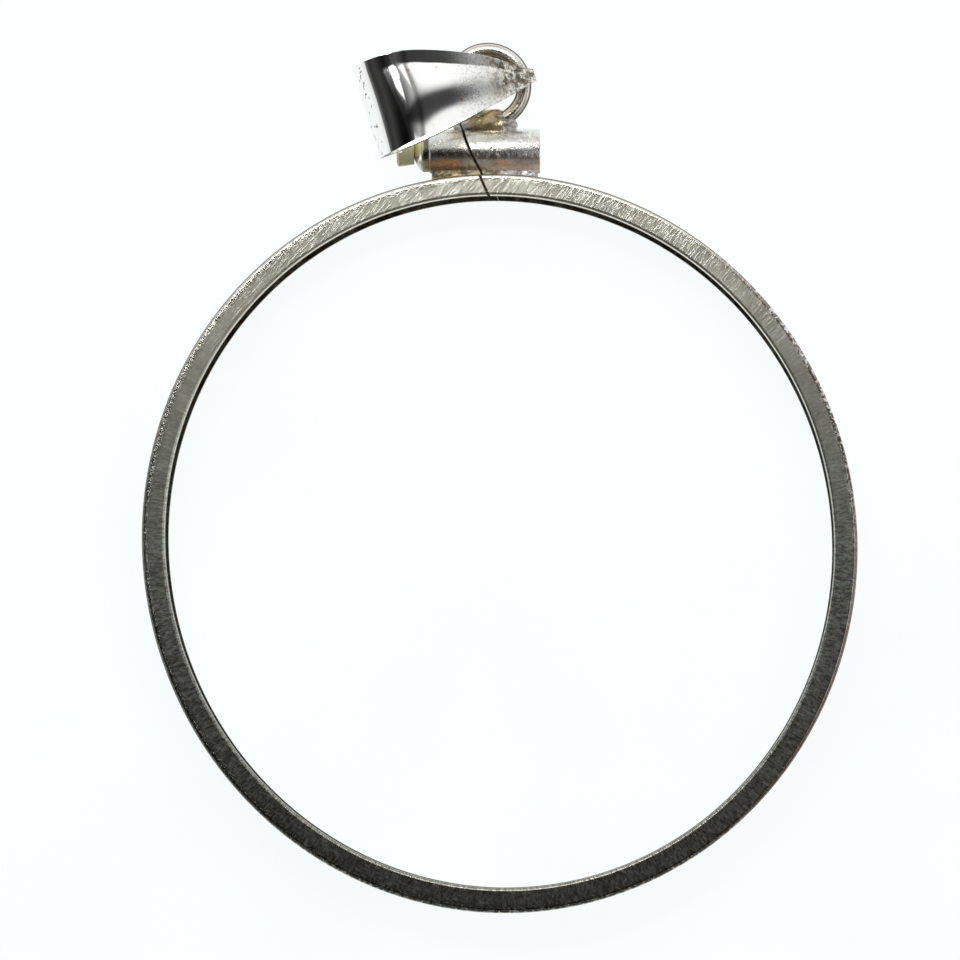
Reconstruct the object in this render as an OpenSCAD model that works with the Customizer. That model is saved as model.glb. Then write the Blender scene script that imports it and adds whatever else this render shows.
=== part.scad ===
// Coin bezel pendant: a split channel ring for a coin, a soldered screw barrel and loop,
// the clamping screw, and a folded sheet bail that swings on the loop.
// Millimetres. The origin is the centre of the coin seat, at half the ring's depth. The ring
// lies in the XY plane, +Y runs to the barrel and the loop, and +Z is the pendant's front.

/* [Coin seat] */
// Longest diameter of the seat, which the split ring has when it is empty
seat_long = 39; // [38.6:0.1:39.4]
// Shortest diameter of the seat, square to the longest
seat_short = 37.6; // [37.2:0.1:38]
// Direction of the longest diameter, in degrees from +X
seat_lean = 103.6; // [92:0.1:115]
// Clear width of the channel that takes the coin's rim
channel_w = 2.5; // [2.2:0.1:3]

/* [Ring section] */
// Thickness of the wall behind the coin's rim
wall_t = 0.5; // [0.4:0.05:0.7]
// Thickness of the two lips
lip_t = 0.45; // [0.35:0.05:0.6]
// Reach of the lips over the coin, inwards from the seat
lip_reach = 0.78; // [0.5:0.02:1]
// Radius of the ring's two outer corners
shoulder_r = 0.32; // [0.15:0.01:0.4]
// Chamfer on the inner edge of each lip
lip_chamfer = 0.08; // [0.02:0.01:0.15]

/* [Barrel] */
// Diameter of the barrel
barrel_d = 2.4; // [2.2:0.1:2.8]
// Height of the barrel's axis above the seat's centre
barrel_y = 21.3; // [21.2:0.02:21.45]
// Left end of the barrel
barrel_left = -3.8; // [-4.2:0.1:-3.4]
// Right end of the barrel
barrel_right = 2.2; // [1.8:0.1:2.6]
// Diameter of the smooth collar on the barrel's left end
collar_d = 2.24; // [2:0.02:2.3]
// Length of the collar
collar_l = 0.38; // [0.2:0.02:0.5]
// Radius of the collar's domed end
dome_r = 1.5; // [1.3:0.05:1.8]
// Length of the dome
dome_l = 0.4; // [0.3:0.02:0.45]
// Running clearance of the screw in its bores, on the radius
screw_clear = 0.05; // [0.03:0.01:0.08]

/* [Saw cut] */
// Width of the saw cut through the ring and the barrel
cut_w = 0.13; // [0.08:0.01:0.2]
// Lean of the cut from +Y, in degrees
cut_lean = 23.6; // [15:0.1:30]
// Where the cut crosses the barrel's axis
cut_x = -1.68; // [-2:0.02:-1.2]

/* [Screw] */
// Diameter of the screw's shank
shank_d = 1; // [0.9:0.05:1.1]
// Diameter of the neck under the head
neck_d = 0.62; // [0.5:0.02:0.7]
// Diameter of the head at its outer end
head_d = 1.66; // [1.4:0.02:1.8]
// Diameter of the head at its neck
head_neck_d = 1.4; // [1.2:0.02:1.6]
// Length of the head
head_l = 0.95; // [0.8:0.05:1.1]
// Width of the slot in the head
slot_w = 0.22; // [0.15:0.01:0.3]
// Depth of the slot
slot_l = 0.3; // [0.2:0.02:0.4]

/* [Loop] */
// Diameter of the loop's round wire
wire_d = 0.78; // [0.7:0.02:0.8]
// Outer diameter of the loop
loop_d = 4.72; // [4.6:0.02:4.9]
// Place of the loop's centre along X
loop_x = -0.64; // [-0.9:0.02:-0.4]
// Place of the loop's centre along Y
loop_y = 24.86; // [24.8:0.01:24.95]

/* [Bail] */
// Where on the loop the bail hangs, in degrees from +X
bail_side = 16; // [10:1:25]
// Rise of the bail's axis above the ring's plane as it lies on the loop, in degrees
bail_rise = 31.5; // [31.5:0.5:60]
// Roll of the bail about its own axis, in degrees
bail_roll = 2; // [0:0.5:3]
// Distance from the eye's centre to the centre of the fold
bail_reach = 8.05; // [7.5:0.05:8.5]
// Outer radius of the fold that the chain runs in
fold_r = 1.8; // [1.6:0.05:2]
// Thickness of the sheet at the fold
sheet_t = 0.35; // [0.3:0.01:0.4]
// Inner radius of the eye that takes the loop's wire
eye_r = 0.5; // [0.5:0.01:0.54]
// Thickness of the sheet round the eye
eye_t = 0.22; // [0.2:0.01:0.28]

/* [Hidden] */
$fn = 96;
tiny = 0.01;
arc_inset = 0.01;

ring_depth = channel_w + 2 * lip_t;
outer_long = seat_long / 2 + wall_t;
outer_short = seat_short / 2 + wall_t;
// The oval is four arcs of 90 degrees, tangent where they meet, on centres this far out
arc_shift = (outer_long - outer_short) / (2 - sqrt(2));
end_r = outer_long - arc_shift;
side_r = outer_short + arc_shift;
band = wall_t + lip_reach;

// The web of solder between the wall and the barrel starts inside the wall
web_low = outer_long - 0.42;
web_depth = 1.2;
web_inset = 0.12;
solder_r = 0.78;
solder_x = -0.3;
solder_y = barrel_y + barrel_d / 2 + 0.1;

collar_end = barrel_left - collar_l;
dome_end = collar_end - dome_l;
head_gap = 0.06;
head_start = dome_end - head_gap;
head_chamfer = 0.12;
shank_start = collar_end + 0.15;
shank_end = barrel_right - 0.3;
shank_point = 0.15;

loop_r = (loop_d - wire_d) / 2;
// The wire bears on the outer side of the eye, so the eye's centre lies inside the wire's
eye_inset = 0.07;
eye_x = loop_x + (loop_r - eye_inset) * cos(bail_side);
eye_y = loop_y + (loop_r - eye_inset) * sin(bail_side);

eye_mid = eye_r + eye_t / 2;
fold_mid = fold_r - sheet_t / 2;
leaf_slope = asin((fold_mid - eye_mid) / bail_reach);
// The rear leaf's share of the front leaf's shift and bow
rear_shift = 0.4;
rear_crown = 0.7;

// Columns: distance from the eye, half width, shift to the side away from the barrel,
// thickness, and bow of the sheet across its width. The last row is the fold's far end.
BAIL_ROWS = [
    [-0.70, 0.18, -0.16, eye_t, 0.00],
    [-0.45, 0.32, -0.16, eye_t, 0.00],
    [-0.20, 0.40, -0.16, eye_t + 0.02, 0.00],
    [0.20, 0.50, -0.14, eye_t + 0.10, 0.00],
    [0.90, 0.74, -0.11, eye_t + 0.16, 0.05],
    [1.70, 1.04, 0.02, sheet_t, 0.16],
    [2.80, 1.36, 0.08, sheet_t, 0.30],
    [4.40, 1.70, 0.17, sheet_t, 0.44],
    [6.20, 2.06, 0.23, sheet_t, 0.44],
    [7.70, 2.32, 0.27, sheet_t, 0.26],
    [bail_reach + fold_mid, 2.56, 0.04, sheet_t, -0.10],
];
EYE_STEPS = 8;
LEAF_STEPS = 14;
FOLD_STEPS = 18;
ACROSS = [-1, -0.7, -0.35, 0, 0.35, 0.7, 1];

function column(distance, n) = lookup(distance, [for (row = BAIL_ROWS) [row[0], row[n]]]);

// The bail's side view, from the far side of the eye over the front leaf to the fold's end.
// Each entry holds the distance from the eye, the height, and the direction of the face.
function half_profile() = concat(
    [for (i = [0:EYE_STEPS - 1])
        let (a = 180 - (90 - leaf_slope) * i / EYE_STEPS) [eye_mid * cos(a), eye_mid * sin(a), a]],
    [for (i = [0:LEAF_STEPS - 1])
        let (a = 90 + leaf_slope, t = i / LEAF_STEPS, r = eye_mid + (fold_mid - eye_mid) * t)
        [bail_reach * t + r * cos(a), r * sin(a), a]],
    [for (i = [0:FOLD_STEPS / 2])
        let (a = (90 + leaf_slope) * (1 - 2 * i / FOLD_STEPS))
        [bail_reach + fold_mid * cos(a), fold_mid * sin(a), a]]
);

// The rear leaf mirrors the front one, without the two entries that both share
function full_profile() =
    let (front = half_profile(), last = len(front) - 1)
    concat(
        [for (p = front) [p[0], p[1], p[2], 1]],
        [for (i = [last - 1:-1:1]) [front[i][0], -front[i][1], -front[i][2], -1]]
    );

// One point of the sheet: p is the place on the profile, across runs from -1 to 1 over the
// width, and face is 1 on the outer face and -1 on the inner one
function sheet_point(p, across, face) =
    let (
        d = p[0],
        side = p[3] > 0 ? 1 : rear_shift,
        crown = column(d, 4) * (p[3] > 0 ? 1 : rear_crown),
        off = crown * (1 - across * across) + face * column(d, 3) / 2
    )
    [
        d + off * cos(p[2]),
        across * column(d, 1) - side * column(d, 2),
        p[1] + off * sin(p[2])
    ];

// The ring's section, drawn smaller all round by the inset
module ring_section(outer_r, inset) {
    half = ring_depth / 2 - inset;
    rim = outer_r - inset;
    inner = outer_r - band + inset;
    channel_half = channel_w / 2 + inset;
    difference() {
        union() {
            polygon([
                [inner, -half + lip_chamfer], [inner + lip_chamfer, -half],
                [rim - shoulder_r, -half], [rim - shoulder_r, half],
                [inner + lip_chamfer, half], [inner, half - lip_chamfer]
            ]);
            translate([rim - shoulder_r - tiny, -half + shoulder_r])
                square([shoulder_r + tiny, 2 * (half - shoulder_r)]);
            for (side = [-1, 1])
                translate([rim - shoulder_r, side * (half - shoulder_r)]) circle(shoulder_r);
        }
        translate([inner - 1, -channel_half]) square([1 + lip_reach, 2 * channel_half]);
    }
}

// An arc of the oval ring, about the direction given, on a centre moved along it
module ring_arc(direction, shift, outer_r, overlap, inset) {
    rotate(direction) translate([shift, 0, 0])
        rotate(-45 - overlap) rotate_extrude(angle = 90 + 2 * overlap) ring_section(outer_r, inset);
}

// The side arcs run on inside the end arcs, a hair smaller than they are
module channel_ring() {
    for (turn = [0, 180]) {
        ring_arc(seat_lean + turn, arc_shift, end_r, 0, 0);
        ring_arc(seat_lean + 90 + turn, -arc_shift, side_r, 1, arc_inset);
    }
}

module along_barrel(start, length, d1, d2) {
    translate([start, barrel_y, 0]) rotate([0, 90, 0]) cylinder(h = length, d1 = d1, d2 = d2);
}

module barrel_body() {
    along_barrel(barrel_left, barrel_right - barrel_left, barrel_d, barrel_d);
    intersection() {
        along_barrel(dome_end, barrel_left - dome_end + tiny, collar_d, collar_d);
        translate([collar_end + sqrt(dome_r * dome_r - collar_d * collar_d / 4), barrel_y, 0])
            sphere(dome_r);
    }
    translate([barrel_left + web_inset, web_low, -web_depth / 2])
        cube([barrel_right - barrel_left - 2 * web_inset, barrel_y - web_low - barrel_d / 4, web_depth]);
}

module barrel_bores() {
    along_barrel(dome_end - 1, 3, neck_d + 2 * screw_clear, neck_d + 2 * screw_clear);
    along_barrel(shank_start - screw_clear, barrel_right - shank_start + 1,
        shank_d + 2 * screw_clear, shank_d + 2 * screw_clear);
}

module loop_wire() {
    translate([loop_x, loop_y, 0]) rotate_extrude() translate([loop_r, 0]) circle(wire_d / 2);
}

// The solder mass, turned about a line that runs beside the barrel
module loop_solder() {
    translate([solder_x, solder_y, 0]) rotate([0, 90, 0]) rotate_extrude()
        polygon([
            [0, -2.2], [0.3, -2], [0.52, -1.2], [solder_r - 0.06, -0.35], [solder_r, 0.05],
            [0.62, 0.6], [0.3, 1.15], [0, 1.3]
        ]);
}

module saw_cut() {
    translate([cut_x, barrel_y, 0]) rotate(cut_lean)
        translate([-cut_w / 2, -4, -ring_depth]) cube([cut_w, 5.6, 2 * ring_depth]);
}

module bezel() {
    color("silver") difference() {
        union() {
            channel_ring();
            barrel_body();
            loop_wire();
            loop_solder();
        }
        barrel_bores();
        saw_cut();
    }
}

module screw() {
    color("khaki") difference() {
        union() {
            along_barrel(head_start - head_l, head_chamfer, head_d - 2 * head_chamfer, head_d);
            along_barrel(head_start - head_l + head_chamfer, head_l - head_chamfer, head_d, head_neck_d);
            along_barrel(head_start - tiny, shank_start - head_start + 2 * tiny, neck_d, neck_d);
            along_barrel(shank_start, shank_end - shank_point - shank_start, shank_d, shank_d);
            along_barrel(shank_end - shank_point, shank_point, shank_d, shank_d - 2 * shank_point);
        }
        translate([head_start - head_l - 1, barrel_y - slot_w / 2, -head_d])
            cube([1 + slot_l, slot_w, 2 * head_d]);
    }
}

module bail() {
    profile = full_profile();
    around = len(profile);
    per = 2 * len(ACROSS);
    section = concat([for (k = ACROSS) [k, 1]], [for (k = ACROSS) [-k, -1]]);
    points = [for (p = profile) for (s = section) sheet_point(p, s[0], s[1])];
    faces = [
        for (i = [0:around - 1]) for (j = [0:per - 1])
            let (n = (i + 1) % around, m = (j + 1) % per)
            each [[i * per + j, n * per + m, n * per + j], [i * per + j, i * per + m, n * per + m]]
    ];
    color("gainsboro")
        translate([eye_x, eye_y, 0]) rotate(180 + bail_side) rotate([bail_roll, -bail_rise, 0])
            polyhedron(points, faces);
}

bezel();
screw();
bail();
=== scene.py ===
"""Coin bezel pendant: the dressed model on a plain pale floor."""

import math
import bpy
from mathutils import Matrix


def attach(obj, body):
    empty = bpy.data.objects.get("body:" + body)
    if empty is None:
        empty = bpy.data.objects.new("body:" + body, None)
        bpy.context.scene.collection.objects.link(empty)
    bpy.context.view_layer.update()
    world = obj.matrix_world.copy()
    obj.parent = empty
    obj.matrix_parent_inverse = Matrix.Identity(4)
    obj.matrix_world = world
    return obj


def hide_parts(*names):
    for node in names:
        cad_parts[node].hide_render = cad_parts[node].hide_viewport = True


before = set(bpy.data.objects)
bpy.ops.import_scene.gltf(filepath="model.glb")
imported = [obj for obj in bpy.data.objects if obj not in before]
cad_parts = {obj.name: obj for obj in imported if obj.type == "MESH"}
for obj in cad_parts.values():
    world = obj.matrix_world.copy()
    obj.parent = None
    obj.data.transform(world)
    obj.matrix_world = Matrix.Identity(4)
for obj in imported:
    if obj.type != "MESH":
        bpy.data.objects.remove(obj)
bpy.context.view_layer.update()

import bpy
from mathutils import Euler, Matrix, Vector

bl_info = {
    "name": "Coin Bezel Pendant",
    "version": (1, 0, 0),
    "blender": (4, 5, 0),
    "location": "3D View > Sidebar > Pendant",
    "description": "Models a split coin ring with its screw barrel, loop and folded bail",
    "category": "Object",
}

MM = 0.001
EYE_CENTRE = Vector((1.1864, 25.3837, 0)) * MM
LOOP_CENTRE = Vector((-0.64, 24.86, 0)) * MM
BARREL_Y = 21.3 * MM
# The floor is square, and touches the ring's back
FLOOR_HEIGHT, FLOOR_SIDE = -1.7 * MM, 1200 * MM
# Vertices of a swept shape that are nearer than this are the same one
SEAM = 0.0002 * MM
# The saw cut leans a little in depth too, so that the floor isn't seen through it
CUT_PLACE = Vector((-1.68, 21.3, 1.7)) * MM
CUT_TURN = (0, math.radians(-8), math.radians(23.6))
RING_CUT, WEB_CUT, BARREL_CUT = 0.065 * MM, 0.08 * MM, 0.10 * MM
# From the eye the bail points this way round, and it is rolled a little about its length
BAIL_TURN, BAIL_ROLL = math.radians(196), math.radians(2)
EYE_STEPS, LEAF_STEPS, FOLD_STEPS, BAIL_COLUMNS = 12, 48, 16, 45
# The rear leaf has these shares of the front leaf's shift and crown
REAR_SHIFT, REAR_CROWN = 0.4, 0.7
# The camera's sensor in mm, and the width that it sees at the ring's front
SENSOR, SEEN_WIDTH = 36, 51.84 * MM


# The sizes and colours that the panel lists

def length_setting(name, description, default, low, high):
    return bpy.props.FloatProperty(
        name=name, description=description, default=default * MM, min=low * MM, max=high * MM,
        unit="LENGTH", subtype="DISTANCE", precision=5)


def angle_setting(name, description, degrees):
    return bpy.props.FloatProperty(
        name=name, description=description, default=math.radians(degrees),
        unit="ROTATION", subtype="ANGLE")


def colour_setting(name, description, *default):
    return bpy.props.FloatVectorProperty(
        name=name, description=description, default=default, min=0, max=1, size=3,
        subtype="COLOR")


class RingSizes(bpy.types.PropertyGroup):
    long_radius: length_setting(
        "Long Radius", "Half of the oval ring's longest diameter", 20.0, 15, 30)
    short_radius: length_setting(
        "Short Radius", "Half of the oval ring's shortest diameter", 19.3, 15, 30)
    lean: angle_setting("Lean", "Direction of the longest diameter", 103.6)
    depth: length_setting("Depth", "Depth of the ring from face to back", 3.4, 2, 6)
    band: length_setting("Band", "Width of the lip's face with the wall behind it", 1.26, 0.5, 3)
    shoulder: length_setting("Shoulder", "Radius of the ring's worn outer corners", 0.21, 0, 0.5)


class BailSizes(bpy.types.PropertyGroup):
    reach: length_setting("Reach", "Distance from the eye to the centre of the fold", 8.05, 4, 12)
    fold_radius: length_setting(
        "Fold Radius", "Radius of the fold at the middle of the sheet", 1.625, 1, 3)
    eye_radius: length_setting(
        "Eye Radius", "Radius of the eye at the middle of the sheet", 0.61, 0.4, 1)
    sheet: length_setting("Sheet", "Thickness of the sheet", 0.22, 0.1, 0.5)
    rise: angle_setting("Rise", "How far the bail rises above the ring's plane as it lies", 31.5)


class PendantColours(bpy.types.PropertyGroup):
    silver: colour_setting("Silver", "The barrel, the loop and the solder", 0.80, 0.79, 0.77)
    warm_silver: colour_setting("Warm Silver", "Light yellow tarnish on silver", 0.72, 0.63, 0.44)
    ring_silver: colour_setting("Ring Silver", "The ring's brushed face", 0.82, 0.82, 0.71)
    hairline: colour_setting("Hairline", "Bright hairline scratches on the ring", 1.0, 1.0, 0.97)
    # Patina, whose darkening low on the ring is also painted shade
    patina: colour_setting("Patina", "Old greenish patina low on the ring", 0.42, 0.50, 0.46)
    red_brown: colour_setting("Red Brown", "Stain on the ring's right corner", 0.30, 0.20, 0.17)
    # Also the pale colour of the painted glints on the ring
    bright_silver: colour_setting("Bright Silver", "Polish and bare nicks", 0.92, 0.92, 0.91)
    brown_silver: colour_setting("Brown Silver", "Brown tarnish on silver", 0.34, 0.28, 0.19)
    gold: colour_setting("Gold", "Yellow solder under the loop", 0.72, 0.57, 0.31)
    # Painted shade as well as dirt: the dark in the narrow saw cut
    dirt: colour_setting("Dirt", "Dirt in the saw cut", 0.11, 0.075, 0.045)
    # Tarnish, and also painted shade: in the ring's channel, low on the ring, along its outline and
    # on the wire's sides
    tarnish: colour_setting("Tarnish", "Dark tarnish in pits and corners", 0.10, 0.08, 0.055)
    copper: colour_setting("Copper", "Copper stains on the barrel and the bail", 0.88, 0.42, 0.18)
    # A painted reflection: the light pink line low on the barrel
    pink_rim: colour_setting("Pink Rim", "Light rim low on the barrel", 1.0, 0.82, 0.70)
    brass: colour_setting("Brass", "The screw's head", 1.0, 0.92, 0.48)
    pale_brass: colour_setting("Pale Brass", "Worn streaks on the screw's head", 1.0, 0.99, 0.70)
    floor: colour_setting("Floor", "The pale floor", 0.95, 0.99, 0.99)


# Shared modelling steps

def deselect():
    """Leaves edit mode and selects nothing."""
    if bpy.context.object and bpy.context.object.mode != "OBJECT":
        bpy.ops.object.mode_set(mode="OBJECT")
    bpy.ops.object.select_all(action="DESELECT")


def named(name):
    """Names the object that was just added, and its mesh."""
    piece = bpy.context.object
    piece.name = name
    piece.data.name = name
    return piece


def select_vertices(piece, test):
    """Selects the vertices whose place passes the test, and leaves edit mode on."""
    bpy.ops.object.mode_set(mode="EDIT")
    bpy.ops.mesh.select_mode(type="VERT")
    bpy.ops.mesh.select_all(action="DESELECT")
    bpy.ops.object.mode_set(mode="OBJECT")
    for vertex in piece.data.vertices:
        vertex.select = bool(test(vertex.co))
    bpy.ops.object.mode_set(mode="EDIT")


def use_modifier(piece, kind, **settings):
    """Adds a modifier to the active piece and applies it."""
    modifier = piece.modifiers.new(kind.title(), kind)
    for key, value in settings.items():
        setattr(modifier, key, value)
    bpy.ops.object.modifier_apply(modifier=modifier.name)


def close_up(piece):
    """Merges the seam of a swept shape and turns its faces outwards."""
    bpy.ops.mesh.select_all(action="SELECT")
    bpy.ops.mesh.remove_doubles(threshold=SEAM)
    bpy.ops.mesh.normals_make_consistent(inside=False)
    bpy.ops.object.mode_set(mode="OBJECT")


def pick(piece):
    """Makes the piece the active one, and the only one selected."""
    bpy.ops.object.select_all(action="DESELECT")
    piece.select_set(True)
    bpy.context.view_layer.objects.active = piece


def smooth(piece, degrees=35):
    pick(piece)
    bpy.ops.object.shade_smooth_by_angle(angle=math.radians(degrees))


def settle(piece):
    """Moves the piece's place, turn and scale into its mesh."""
    pick(piece)
    bpy.ops.object.transform_apply(location=True, rotation=True, scale=True)


def block(name, place, size):
    """A plain block with that middle and those sides."""
    deselect()
    bpy.ops.mesh.primitive_cube_add(size=1, location=place)
    piece = named(name)
    piece.scale = size
    settle(piece)
    return piece


def cut_away(piece, blade):
    """Takes the blade's shape out of the piece, and removes the blade."""
    pick(piece)
    use_modifier(piece, "BOOLEAN", operation="DIFFERENCE", solver="EXACT", object=blade)
    bpy.data.objects.remove(blade)


def turned(name, centre, profile, segments):
    """A shape turned about a line along X: the profile's rows are place along X and radius."""
    deselect()
    start, radius = profile[0]
    bpy.ops.mesh.primitive_circle_add(
        vertices=segments, radius=radius, fill_type="NGON", enter_editmode=True,
        location=(centre[0] + start, centre[1], centre[2]), rotation=(0, math.radians(90), 0))
    piece = named(name)
    bpy.ops.object.mode_set(mode="OBJECT")
    settle(piece)
    bpy.ops.object.mode_set(mode="EDIT")
    bpy.ops.mesh.select_all(action="SELECT")
    for place, size in profile[1:]:
        bpy.ops.mesh.extrude_region_move(
            TRANSFORM_OT_translate={"value": (place - start, 0, 0)})
        factor = size / radius
        bpy.ops.transform.resize(
            value=(1, factor, factor),
            center_override=(centre[0] + place, centre[1], centre[2]))
        start, radius = place, size
    close_up(piece)
    return piece


def saw_through(piece, width):
    """Cuts the piece along the saw cut that leans across the barrel and the ring."""
    reach, depth, middle = 5.6 * MM, 9 * MM, -1.2 * MM
    blade = block("saw_blade", (0, 0, 0), (width, reach, depth))
    blade.matrix_world = (
        Matrix.Translation(CUT_PLACE)
        @ Euler(CUT_TURN).to_matrix().to_4x4()
        @ Matrix.Translation((0, middle, 0)))
    cut_away(piece, blade)


# Material building blocks

class Nodes:
    """A short hand for the nodes of one tree, with places taken from one kind of coordinates."""

    def __init__(self, tree, coordinates="Object"):
        self.tree = tree
        self.place = tree.nodes.new("ShaderNodeTexCoord").outputs[coordinates]

    def node(self, kind, inputs, **settings):
        made = self.tree.nodes.new(kind)
        for key, value in settings.items():
            setattr(made, key, value)
        self.feed(made, inputs)
        return made

    def feed(self, made, inputs):
        """Links each input, or sets it: a plain colour gets its fourth value here."""
        for key, value in inputs.items():
            socket = made.inputs[key]
            if isinstance(value, bpy.types.NodeSocket):
                self.tree.links.new(value, socket)
            elif socket.type == "RGBA":
                socket.default_value = (*value, 1)
            else:
                socket.default_value = value

    def moved(self, rotation=(0, 0, 0), scale=(1, 1, 1), vector=None):
        return self.node("ShaderNodeMapping", {
            "Vector": vector or self.place, "Rotation": rotation, "Scale": scale}).outputs[0]

    def seen_from(self, location=(0, 0, 0), rotation=(0, 0, 0), scale=(1, 1, 1)):
        """The axes of a frame of its own that stands there."""
        return self.axes(self.node("ShaderNodeMapping", {
            "Vector": self.place, "Location": location, "Rotation": rotation,
            "Scale": scale}, vector_type="TEXTURE").outputs[0])

    def noise(self, scale, detail, roughness=0.55, vector=None):
        return self.node("ShaderNodeTexNoise", {
            "Vector": vector or self.place, "Scale": scale, "Detail": detail,
            "Roughness": roughness}).outputs["Fac"]

    def stretched(self, scales, detail, roughness):
        """Noise with a scale of its own along each axis."""
        return self.noise(1.0, detail, roughness, self.moved(scale=scales))

    def fit(self, value, low, high, to_low=0.0, to_high=1.0):
        """Goes from to_low where the value is low to to_high where it is high."""
        return self.node("ShaderNodeMapRange", {
            "Value": value, "From Min": low, "From Max": high,
            "To Min": to_low, "To Max": to_high}, clamp=True).outputs[0]

    def sums(self, operation, *values):
        return self.node("ShaderNodeMath", dict(enumerate(values)), operation=operation).outputs[0]

    def times(self, first, *others):
        for other in others:
            first = self.sums("MULTIPLY", first, other)
        return first

    def plus(self, first, second):
        return self.sums("ADD", first, second)

    def less(self, first, second):
        return self.sums("SUBTRACT", first, second)

    def most(self, first, second):
        return self.sums("MAXIMUM", first, second)

    def length(self, x, y):
        """The length of the line with those two sides."""
        return self.sums("SQRT", self.plus(self.sums("POWER", x, 2), self.sums("POWER", y, 2)))

    def axes(self, vector=None):
        return self.node("ShaderNodeSeparateXYZ", {0: vector or self.place}).outputs

    def blend(self, factor, first, second):
        return self.node(
            "ShaderNodeMix", {0: factor, 6: first, 7: second}, data_type="RGBA").outputs[2]

    def bump(self, height, strength, distance, normal=None):
        inputs = {"Height": height, "Strength": strength, "Distance": distance}
        if normal:
            inputs["Normal"] = normal
        return self.node("ShaderNodeBump", inputs).outputs[0]

    def ramp(self, value, stops):
        """Levels of grey by the value: each stop is a value and its level."""
        made = self.node("ShaderNodeValToRGB", {0: value})
        elements = made.color_ramp.elements
        while len(elements) < len(stops):
            elements.new(0.5)
        for element, (position, level) in zip(elements, stops):
            element.position = position
            element.color = (level, level, level, 1)
        return made.outputs[0]


class Material(Nodes):
    """The nodes of a new material, and the colours that the panel lists."""

    def __init__(self, name):
        self.material = bpy.data.materials.new(name)
        self.material.use_nodes = True
        super().__init__(self.material.node_tree)
        picked = bpy.context.scene.pendant_colours
        self.colours = {key: tuple(getattr(picked, key)) for key in PendantColours.__annotations__}

    def finish(self, **inputs):
        self.feed(self.tree.nodes["Principled BSDF"], {
            key.replace("_", " "): value for key, value in inputs.items()})
        return self.material


def polar(nodes, across, along):
    """Coordinates that follow the ring: the first runs round it, the second outwards."""
    x, y, z = nodes.axes()
    return nodes.node("ShaderNodeCombineXYZ", {
        0: nodes.times(nodes.sums("ARCTAN2", y, x), across),
        1: nodes.times(nodes.length(x, y), along), 2: nodes.times(z, along)}).outputs[0]


def saw_cut_dirt_and_shade(nodes):
    """The mask of the saw cut's painted shade and dirt: full in the cut and just beside it, and
    nothing elsewhere.
    """
    across = nodes.sums("ABSOLUTE", nodes.seen_from(CUT_PLACE, CUT_TURN)[0])
    near = nodes.fit(across, 0.085 * MM, 0.06 * MM)
    return nodes.times(near, nodes.fit(nodes.axes()[1], 16 * MM, 17 * MM))


def inset_from_edge(nodes):
    """How far in from the oval ring's outer edge a place is, in metres."""
    sizes = bpy.context.scene.ring_sizes
    x, y, z = nodes.seen_from(
        rotation=(0, 0, sizes.lean), scale=(sizes.long_radius, sizes.short_radius, 1))
    middle = (sizes.long_radius + sizes.short_radius) / 2
    return nodes.times(nodes.less(1.0, nodes.length(x, y)), middle)


def hairlines(nodes, degrees, spacing, length, low, high):
    """Fine straight scratches that run in one direction across the face."""
    place = nodes.moved(rotation=(0, 0, math.radians(-degrees)))
    place = nodes.moved(scale=(1 / length, 1 / spacing, 1 / length), vector=place)
    return nodes.fit(nodes.noise(1.0, 2, 0.5, place), low, high)


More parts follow.
